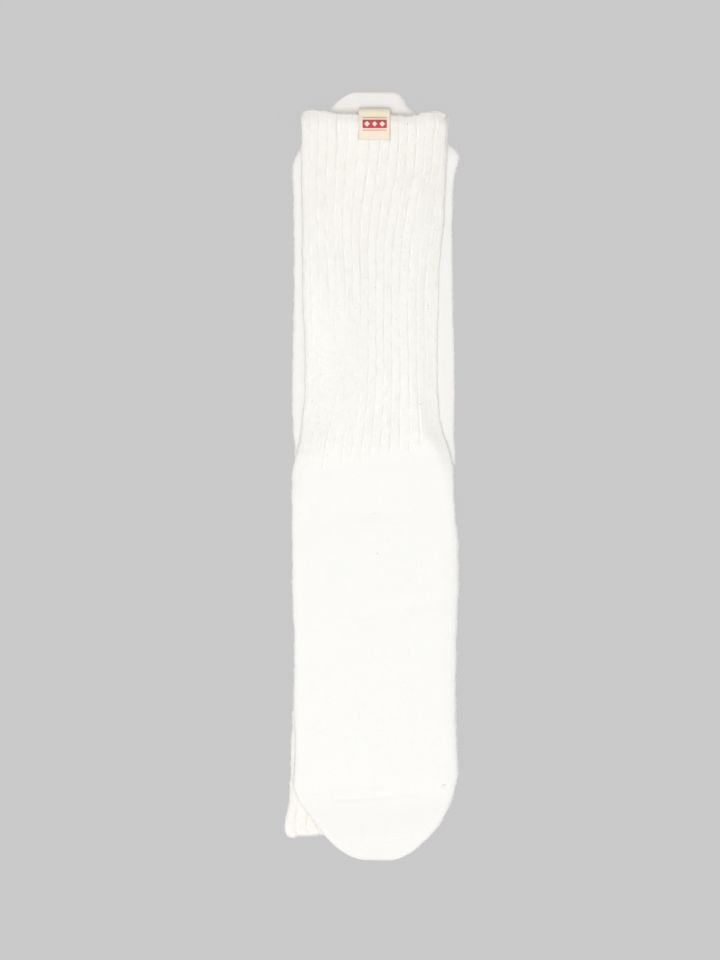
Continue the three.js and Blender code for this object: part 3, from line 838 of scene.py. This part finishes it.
def make_fuzz(name, sock, count, seed):
    """A nap of fine loose fibres: each is a bent sliver of two triangles and a tip."""
    rng = np.random.default_rng(seed)
    rows = np.sort(rng.uniform(1, sock.length - 0.6, count))
    points = []
    for start in range(0, count, FUZZ_BATCH):
        part = rows[start : start + FUZZ_BATCH]
        for side in (1, -1):
            places = rng.uniform(0, RIBS, len(part))
            roots, normals = sock.points(part, np.sort(places), side)[:2]
            index = np.arange(len(part))
            columns = rng.permutation(len(part))
            root, normal = roots[index, columns], normals[index, columns]
            length = rng.uniform(*FIBRE_LENGTH, len(part))[:, None]
            lean = rng.normal(size=(len(part), 3)) * [1, 1, 0.3]
            lean /= np.linalg.norm(lean, axis=1)[:, None]
            middle = root + (normal * 0.35 + lean * 0.45) * length
            stray = rng.normal(size=(len(part), 3)) * 0.25
            tip = middle + (normal * 0.1 + lean * 0.5 + stray) * length
            for point in (middle, tip):
                point[:, 2] = np.maximum(point[:, 2], 0.05)
            broad = np.cross(lean, rng.normal(size=(len(part), 3)))
            broad *= FIBRE / 2 / np.linalg.norm(broad, axis=1)[:, None]
            corners = [root + broad, root - broad, middle + broad, middle - broad, tip]
            points.extend(np.stack(corners, 1).reshape(-1, 3))
    first = np.arange(0, len(points), 5)[:, None, None]
    faces = first + np.array([[0, 1, 3], [0, 3, 2], [2, 3, 4]])
    return new_mesh(name, points, faces.reshape(-1, 3).tolist())


def edge_places(sock, count, rng):
    """Places along a sock's edges and round its cuff, each with its outward direction."""
    around_cuff = rng.uniform(size=count) < CUFF_LOOPS
    on_cuff, on_edge = rng.uniform(0.2, 1.2, count), rng.uniform(0.5, sock.length, count)
    along = np.where(around_cuff, on_cuff, on_edge)
    left = rng.uniform(size=count) < 0.5
    inward = rng.uniform(0.02, 0.3, count)
    beside = np.where(left, inward, RIBS - inward)
    ribs = np.where(around_cuff, rng.uniform(0.3, RIBS - 0.3, count), beside)
    outward = np.stack([np.where(left, -1, 1), 0 * ribs, 0.15 + 0 * ribs], axis=1)
    outward[around_cuff] = (0, -sock.toeward, 0.1)
    return along, ribs, outward


def make_edge_loops(name, sock, count, seed):
    """Small loops of yarn that stand out from the edges and from the cuff."""
    rng = np.random.default_rng(seed)
    along, ribs, outward = edge_places(sock, count, rng)
    step = rng.uniform(*LOOP_STEP, count)
    first = surface_at(sock, along, ribs)
    on_cuff = outward[:, 0] == 0
    second_along = np.where(on_cuff, along, np.minimum(along + step, sock.length - 0.1))
    second_ribs = np.where(on_cuff, np.clip(ribs + step / 6, 0, RIBS - 0.1), ribs)
    second = surface_at(sock, second_along, second_ribs)
    height = rng.uniform(*LOOP_HEIGHT, count) * np.where(on_cuff, 1.5, 1)
    top = (first + second) / 2 + outward * height[:, None] + rng.normal(size=(count, 3)) * 0.12
    top[:, 2] = np.maximum(top[:, 2], 0.15)
    share = np.linspace(0, 1, 7)[:, None]
    paths = [
        a * (1 - share) ** 2 + 2 * b * share * (1 - share) + c * share**2
        for a, b, c in zip(first, top, second)
    ]
    return strand_mesh(name, paths, LOOP_RADIUS, 4)


# ---- Materials ----
# Colours, in pairs where the cloth varies between the two.
# painted light: the crest is coloured darker and warmer at the cuff and lighter along the leg; each
# pair also varies at random
CUFF = (0.905, 0.883, 0.837, 1), (0.892, 0.866, 0.817, 1)
LEG = (0.930, 0.921, 0.883, 1), (0.917, 0.906, 0.865, 1)
FOOT = (0.826, 0.821, 0.801, 1)
# painted shade for the lower sock's foot and toe, and a darker tone for the upper sock's toe
TOE_TONE_AND_SHADE = (0.772, 0.748, 0.726, 1)
CUFF_LIP_HIGHLIGHT = (0.960, 0.952, 0.922, 1)  # painted highlight on the raised wale beside a groove
LEG_LIP_HIGHLIGHT = (0.990, 0.986, 0.968, 1)
# painted shade: a darker, warmer colour down in the grooves
GROOVE_SHADE = (0.76, 0.735, 0.68, 1)
GAP_SHADE = (0.70, 0.67, 0.61, 1)  # painted shade between the yarns of a stitch
CREAM = (0.862, 0.785, 0.625, 1), (0.77, 0.68, 0.51, 1)
RED = (0.58, 0.055, 0.085, 1), (0.42, 0.04, 0.06, 1)
COTTON = {"Specular_IOR_Level": 0.15, "Sheen_Weight": 0.4, "Sheen_Roughness": 0.6}

# The label's design, in millimetres.
THREAD = 0.34  # between two threads
LABEL_BAND = 9.2  # from the label's lower end to the middle of its band
BAND_HALF = 2.5
LINE_AT, LINE_HALF = 3.7, 0.25  # from the band's middle, and half a line's width
DESIGN_HALF = 7.4
LOZENGE = 4.6  # from one lozenge to the next
LOZENGE_HALF = 1.55


class Nodes:
    """Short ways to build a material's node tree."""

    def __init__(self, name):
        self.material = bpy.data.materials.new(name)
        self.material.use_nodes = True
        self.tree = self.material.node_tree
        self.shader = self.tree.nodes["Principled BSDF"]

    def feed(self, socket, value):
        if hasattr(value, "links"):
            self.tree.links.new(value, socket)
        else:
            socket.default_value = value

    def add(self, kind, inputs, output, **settings):
        """Adds a node, feeds its inputs and gives back one of its outputs."""
        node = self.tree.nodes.new(kind)
        for key, value in settings.items():
            setattr(node, key, value)
        for key, value in inputs.items():
            self.feed(node.inputs[key], value)
        return node.outputs[output]

    def math(self, operation, *values):
        return self.add("ShaderNodeMath", dict(enumerate(values)), 0, operation=operation)

    def plus(self, first, second):
        return self.math("ADD", first, second)

    def minus(self, first, second):
        return self.math("SUBTRACT", first, second)

    def times(self, first, second):
        return self.math("MULTIPLY", first, second)

    def noise(self, vector, scale, detail=3):
        inputs = {"Vector": vector, "Scale": scale, "Detail": detail}
        return self.add("ShaderNodeTexNoise", inputs, "Fac")

    def mix(self, share, first, second):
        inputs = {"Factor": share, "A": first, "B": second}
        return self.add("ShaderNodeMix", inputs, "Result", data_type="RGBA")

    def bump(self, height, distance, normal=None):
        inputs = {"Height": height, "Distance": distance}
        if normal is not None:
            inputs["Normal"] = normal
        return self.add("ShaderNodeBump", inputs, "Normal")

    def place(self):
        return self.add("ShaderNodeTexCoord", {}, "Object")

    def attribute(self, name):
        return self.add("ShaderNodeAttribute", {}, "Fac", attribute_name=name)

    def surface(self, color, normal=None, **settings):
        """Sets the shader and gives back the material."""
        self.feed(self.shader.inputs["Base Color"], color)
        if normal is not None:
            self.feed(self.shader.inputs["Normal"], normal)
        for name, value in settings.items():
            self.shader.inputs[name.replace("_", " ")].default_value = value
        return self.material

    def uv(self, name):
        uv = self.add("ShaderNodeUVMap", {}, 0, uv_map=name)
        return [self.add("ShaderNodeSeparateXYZ", {0: uv}, axis) for axis in "XY"]


def knit_height(nodes, wales, courses, place):
    """Height of plain knitting: each stitch is a V of two slanting legs, a little uneven."""
    for scale, amount in ((260, 0.5), (900, 0.22)):
        sway = nodes.minus(nodes.noise(place, scale, 1), 0.5)
        wales = nodes.plus(wales, nodes.times(sway, amount))
        lean = nodes.minus(nodes.noise(place, scale * 1.13, 1), 0.5)
        courses = nodes.plus(courses, nodes.times(lean, amount))
    from_middle = nodes.math("ABSOLUTE", nodes.minus(nodes.math("FRACT", wales), 0.5))
    lifted = nodes.minus(courses, nodes.times(from_middle, 1.1))
    along = nodes.math("SINE", nodes.times(nodes.math("FRACT", lifted), math.pi))
    across = nodes.math("SINE", nodes.times(from_middle, 2 * math.pi))
    stitch = {0: nodes.math("FLOOR", wales), 1: nodes.math("FLOOR", lifted)}
    stitch = {"Vector": nodes.add("ShaderNodeCombineXYZ", stitch, 0)}
    number = nodes.add("ShaderNodeTexWhiteNoise", stitch, "Value", noise_dimensions="2D")
    loft = nodes.plus(nodes.times(number, 0.35), 0.65)
    leg = nodes.times(nodes.math("POWER", along, 0.6), nodes.math("POWER", across, 0.5))
    return nodes.times(leg, loft)


def sock_cloth():
    """Matte off-white cotton knit, with painted shade, darker and warmer, down in the grooves and
    between the yarns of each stitch, painted highlights on the raised wales beside the grooves,
    painted light that grows from the cuff along the leg, and painted shade on the lower sock's foot
    and toe.
    """
    nodes = Nodes("sock_cloth")
    place = nodes.place()
    wales, courses = nodes.uv("knit")
    stitch = knit_height(nodes, wales, courses, place)
    fuzz = nodes.noise(place, 2600, 2)
    uneven = nodes.noise(place, 140, 3)
    names = ("hollow", "plain", "painted_leg_light", "toe")
    hollow, plain, painted_leg_light, toe = [nodes.attribute(name) for name in names]
    cuff, leg = nodes.mix(uneven, *CUFF), nodes.mix(uneven, *LEG)
    # painted light: the crest goes from the darker cuff colour to the lighter leg colour
    crest = nodes.mix(painted_leg_light, cuff, leg)
    # painted shade on the lower sock's foot and toe, and a darker tone on the upper sock's toe
    crest = nodes.mix(plain, crest, nodes.mix(toe, FOOT, TOE_TONE_AND_SHADE))
    # painted highlight: the raised wale beside each groove is coloured lighter
    lip = nodes.math("MAXIMUM", nodes.times(hollow, -7), 0)
    crest = nodes.mix(lip, crest, nodes.mix(painted_leg_light, CUFF_LIP_HIGHLIGHT, LEG_LIP_HIGHLIGHT))
    # painted shade: the grooves are coloured darker and warmer by their depth
    depth = nodes.math("MAXIMUM", nodes.times(hollow, 0.26), 0)
    groove_shaded = nodes.mix(depth, crest, GROOVE_SHADE)
    kept = nodes.minus(1, nodes.times(plain, 0.7))
    kept = nodes.minus(kept, nodes.times(toe, 0.2))
    # painted shade between the yarns of each stitch, weaker on the foot and toe
    gap_shade = nodes.times(nodes.minus(1, stitch), 0.12)
    gap_shade = nodes.times(gap_shade, kept)
    color = nodes.mix(gap_shade, groove_shaded, GAP_SHADE)
    rough = nodes.bump(nodes.times(uneven, kept), 0.0005)
    knit = nodes.bump(nodes.times(stitch, kept), 0.0002, rough)
    return nodes.surface(color, nodes.bump(fuzz, 0.00008, knit), Roughness=0.95, **COTTON)


def label_cloth():
    """A woven label: cream ground, two thin lines and a red band with a row of cream lozenges."""
    nodes = Nodes("label_cloth")
    across, along = nodes.uv("weave")
    u = nodes.minus(across, (LABEL_RIGHT - LABEL_LEFT) / 2)
    v = nodes.minus(along, LABEL_BAND)
    u = nodes.math("SNAP", u, THREAD)
    v = nodes.math("SNAP", v, THREAD)
    from_band = nodes.math("ABSOLUTE", v)
    band = nodes.math("LESS_THAN", from_band, BAND_HALF)
    wave = nodes.math("PINGPONG", nodes.plus(u, LOZENGE / 2), LOZENGE / 2)
    from_middle = nodes.minus(LOZENGE / 2, wave)
    diamond = nodes.math("LESS_THAN", nodes.plus(from_middle, from_band), LOZENGE_HALF)
    line = nodes.math("COMPARE", from_band, LINE_AT, LINE_HALF)
    inside = nodes.math("LESS_THAN", nodes.math("ABSOLUTE", u), DESIGN_HALF)
    red = nodes.minus(band, nodes.times(diamond, band))
    red = nodes.times(nodes.math("MAXIMUM", red, line), inside)
    thread = nodes.times(nodes.noise(nodes.place(), 1800), 0.25)
    ground, ink = nodes.mix(thread, *CREAM), nodes.mix(thread, *RED)
    color = nodes.mix(red, ground, ink)
    ribs = nodes.math("SINE", nodes.times(along, 2 * math.pi / THREAD))
    wefts = nodes.math("SINE", nodes.times(across, 2 * math.pi / THREAD))
    weave = nodes.times(ribs, nodes.plus(wefts, 1.6))
    raised = nodes.plus(nodes.times(weave, 0.3), red)
    gloss = {"Roughness": 0.7, "Specular_IOR_Level": 0.3, "Sheen_Weight": 0.1}
    return nodes.surface(color, nodes.bump(raised, 0.00006), **gloss)


def plain_yarn(name, color):
    nodes = Nodes(name)
    shade = nodes.noise(nodes.place(), 900)
    darker = tuple(0.85 * part for part in color)
    return nodes.surface(nodes.mix(shade, (*color, 1), (*darker, 1)), Roughness=0.9, **COTTON)


# ---- The pieces ----


def dress(obj, material):
    obj.data.materials.append(material)
    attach(obj, "root")


cloth = sock_cloth()
socks = {}
for node, sock in (("lower_sock", lower), ("upper_sock", upper)):
    socks[node] = make_sock(node.replace("_", "_knit_"), sock)
    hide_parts(node)
    dress(socks[node], cloth)

woven = make_label()
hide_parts("label")
dress(woven, label_cloth())

fibre = plain_yarn("fibre", (0.93, 0.92, 0.88))
for name, sock, seed in (("lower_fuzz", lower, 5), ("upper_fuzz", upper, 6)):
    fuzz = make_fuzz(name, sock, FUZZ_COUNT, seed)
    loops = make_edge_loops(name.replace("fuzz", "edge_loops"), sock, LOOP_COUNT, seed + 50)
    dress(fuzz, fibre)
    dress(loops, fibre)


# ---- Specks, flecks and a knot ----

# Small things that lie on a front: X, Y, length and direction in degrees.
UPPER_SPECKS = table("""
2.5 113.4 0.8 80
3.7 -46.2 1 95
1.9 -22.2 0.7 40
18.6 134.4 0.7 80
18.4 143.6 0.8 60
21.7 211.2 0.9 85
29.5 43.2 0.9 10
-6 164.6 0.9 70
""")
UPPER_FLECKS = table("""
-24.7 -192.6 2.4 5
-17.2 -202.8 2.4 95
-5.8 109.8 2.8 10
10.9 174.6 1.8 100
10.5 165.6 1.4 60
-30 64 1.6 85
""")
KNOT_AT = (43.4, -185.6)
KNOT_RADIUS = 0.6
YARN = 0.34  # radius of the knot's yarn


def tree_of(obj):
    vertices = [tuple(v.co) for v in obj.data.vertices]
    return BVHTree.FromPolygons(vertices, [tuple(p.vertices) for p in obj.data.polygons])


def height_on(tree, x, y):
    hit = tree.ray_cast(Vector((x * MM, y * MM, 1)), Vector((0, 0, -1)))[0]
    return hit.z / MM


def lying_strands(tree, small, lift, seed):
    """Short bent strands that lie on what the tree holds."""
    rng = np.random.default_rng(seed)
    paths = []
    for x, y, length, turn in small:
        turn = math.radians(turn)
        bend = rng.uniform(-0.25, 0.25)
        path = []
        for share in np.linspace(-0.5, 0.5, 7):
            sideways = bend * length * (4 * share * share - 0.5)
            at_x = x + length * share * math.cos(turn) - sideways * math.sin(turn)
            at_y = y + length * share * math.sin(turn) + sideways * math.cos(turn)
            path.append((at_x, at_y, height_on(tree, at_x, at_y) + lift))
        paths.append(path)
    return paths


def knot_paths(tree):
    """A small overhand knot with two loose ends."""
    x, y = KNOT_AT
    base = height_on(tree, x, y) + YARN
    turn = np.linspace(0, 2 * math.pi, 49)
    loop_x = x + KNOT_RADIUS * (np.sin(turn) + 1.1 * np.sin(2 * turn)) * 0.62
    loop_y = y + KNOT_RADIUS * (np.cos(turn) - 1.1 * np.cos(2 * turn)) * 0.62
    loop = np.stack([loop_x, loop_y, base + 0.1 - 0.2 * np.sin(3 * turn)], axis=-1)
    ends = []
    for toward, length in ((-160, 2), (35, 1.5)):
        run = math.radians(toward)
        end = []
        for share in np.linspace(0, 1, 9):
            away = 0.3 + length * share
            at_x = x + away * math.cos(run + 0.5 * share)
            at_y = y + away * math.sin(run + 0.5 * share)
            rest = height_on(tree, at_x, at_y) + YARN * 0.8
            end.append((at_x, at_y, rest + 0.35 * (1 - share) ** 2))
        ends.append(end)
    return [loop] + ends


def scattered(sock, count, seed):
    rng = np.random.default_rng(seed)
    along = rng.uniform(6, sock.rib_end, count)
    ribs = rng.uniform(1, RIBS - 1, count)
    at = surface_at(sock, along, ribs)
    lengths = rng.uniform(0.5, 1.5, count)
    turns = rng.uniform(0, 180, count)
    return [(x, y, size, turn) for (x, y, _), size, turn in zip(at, lengths, turns)]


husk = plain_yarn("husk", (0.36, 0.32, 0.26))
# white yarn for the knot and the flecks, coloured lighter than the sock's cloth as a painted
# highlight on these raised bits
knot_yarn_painted_light = plain_yarn("knot_yarn_painted_light", (0.97, 0.965, 0.94))
upper_tree, lower_tree = tree_of(socks["upper_sock"]), tree_of(socks["lower_sock"])
for name, tree, small, lift, seed, radius, material in (
    ("upper_specks", upper_tree, UPPER_SPECKS, 0.05, 31, 0.13, husk),
    ("upper_dust", upper_tree, scattered(upper, 14, 32), 0.02, 33, 0.06, husk),
    ("lower_dust", lower_tree, scattered(lower, 12, 34), 0.02, 35, 0.06, husk),
    ("upper_flecks", upper_tree, UPPER_FLECKS, 0.1, 36, 0.17, knot_yarn_painted_light),
    ("upper_neps", upper_tree, scattered(upper, 60, 37), 0.05, 38, 0.12, fibre),
    ("lower_neps", lower_tree, scattered(lower, 50, 39), 0.05, 40, 0.12, fibre),
):
    dress(strand_mesh(name, lying_strands(tree, small, lift, seed), radius), material)
dress(strand_mesh("toe_knot", knot_paths(upper_tree), YARN), knot_yarn_painted_light)


# ---- Floor, light and camera ----

FLOOR_SIZE = 6
FLOOR_DROP = 0.0001  # below the socks
FLOOR_GLOW = 0.554
WORLD_LIGHT = 0.67
PICTURE_HEIGHT = 960  # in pixels
PIXEL = 0.0006  # metres of the surface in one pixel of the picture
LOOK_AT = Vector((-0.00675, -0.0021, 0.008))
LENS = 100
SENSOR = 36


def floor_material():
    nodes = Nodes("pale_floor")
    grain = nodes.noise(nodes.place(), 60)
    color = nodes.mix(grain, (0.026, 0.026, 0.026, 1), (0.03, 0.03, 0.03, 1))
    glow = {"Emission_Color": (1, 1, 1, 1), "Emission_Strength": FLOOR_GLOW}
    return nodes.surface(color, Roughness=1, Specular_IOR_Level=0, **glow)


bpy.ops.mesh.primitive_plane_add(size=FLOOR_SIZE, location=(0, 0, -FLOOR_DROP))
floor = bpy.context.object
floor.name = "floor"
floor.data.materials.append(floor_material())


def area_light(name, place, size, power):
    data = bpy.data.lights.new(name, "AREA")
    data.shape = "DISK"
    data.size = size
    data.energy = power
    light = new_object(name, data)
    light.location = place
    light.rotation_euler = (LOOK_AT - Vector(place)).to_track_quat("-Z", "Y").to_euler()


area_light("key", (-0.45, -1.6, 3), size=2, power=50)
area_light("fill", (0, 0.1, 2.8), size=2.2, power=15)

world = bpy.data.worlds.new("studio")
world.use_nodes = True
background = world.node_tree.nodes["Background"].inputs
background["Color"].default_value = (1, 1, 1, 1)
background["Strength"].default_value = WORLD_LIGHT
bpy.context.scene.world = world
bpy.context.scene.view_settings.view_transform = "Standard"

camera_data = bpy.data.cameras.new("camera")
camera_data.sensor_fit = "VERTICAL"
camera_data.sensor_height = SENSOR
camera_data.lens = LENS
camera_data.clip_end = 20
camera = new_object("camera", camera_data)
camera.location = LOOK_AT + Vector((0, 0, LENS * PICTURE_HEIGHT * PIXEL / SENSOR))
bpy.context.scene.camera = camera
